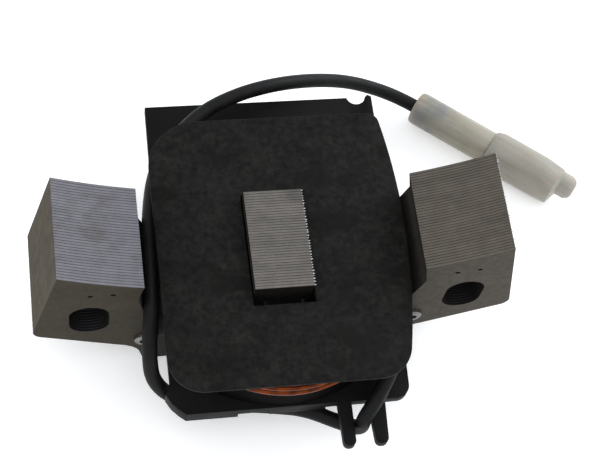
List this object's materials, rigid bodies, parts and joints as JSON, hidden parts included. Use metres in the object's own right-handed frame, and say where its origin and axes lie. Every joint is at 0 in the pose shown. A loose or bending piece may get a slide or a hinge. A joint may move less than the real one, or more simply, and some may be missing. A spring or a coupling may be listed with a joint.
{
  "type": "small engine ignition coil",
  "caption": "Ignition coil with a three-leg laminated core, flanged bobbin winding, bolt slots and a flexible lead ending in a pull-apart bullet connector.",
  "frame": {"origin": "middle of the core's flat back, half way through the stack of sheets", "axes": "+Z from the core's back towards the flywheel rim, +X across the three legs, +Y along the stack, away from the splice"},
  "size_m": [0.1042, 0.0748, 0.0361],
  "materials": {
    "lamination_steel": "bare punched electrical steel, dull brown-grey with lengthwise sheet lines and brown stains",
    "rivet_steel": "plated tubular rivet, dull silver",
    "tinned_tag": "tinned sheet",
    "solder": "dull grey solder",
    "bobbin_plastic": "black moulded plastic, satin with light dust",
    "flange_fibre": "black pressed fibre board, matt and mottled",
    "enamelled_copper": "glossy orange-red enamelled copper wire",
    "insulating_wrap": "thin brown insulating paper",
    "insulating_tape": "black varnished cloth tape",
    "splice_tube": "black insulating sleeve",
    "lead_strands": "tinned stranded copper",
    "lead_insulation": "soft black insulation, satin",
    "terminal_metal": "tinned brass terminal seen bluish through its sleeve",
    "clear_sleeve": "milky translucent soft plastic, slightly yellowed",
    "clear_sleeve_wide": "milky translucent soft plastic, greyer and thicker"
  },
  "bodies": {
    "coil": {"core_laminations": "lamination_steel", "core_rivets": "rivet_steel", "earth_tag": "tinned_tag", "earth_solder": "solder", "bobbin_tube": "bobbin_plastic", "front_flange": "flange_fibre", "rear_flange": "bobbin_plastic", "coil_winding": "enamelled_copper", "inner_wrap": "insulating_wrap", "outer_tape": "insulating_tape", "start_wire": "enamelled_copper", "finish_wire": "enamelled_copper", "splice_solder": "solder", "splice_sleeve": "splice_tube", "splice_strands": "lead_strands", "lead_held": "lead_insulation", "lead_free": "lead_insulation", "crimped_strands": "lead_strands", "pin_terminal": "terminal_metal", "pin_sleeve": "clear_sleeve"},
    "socket_half": {"socket_terminal": "terminal_metal", "socket_sleeve": "clear_sleeve_wide"}
  },
  "joints": [
    {"name": "connector_release", "type": "slide", "parent": "coil", "child": "socket_half", "axis": [0.788, -0.6157, 0], "range_m": [0, 0.0085]}
  ]
}
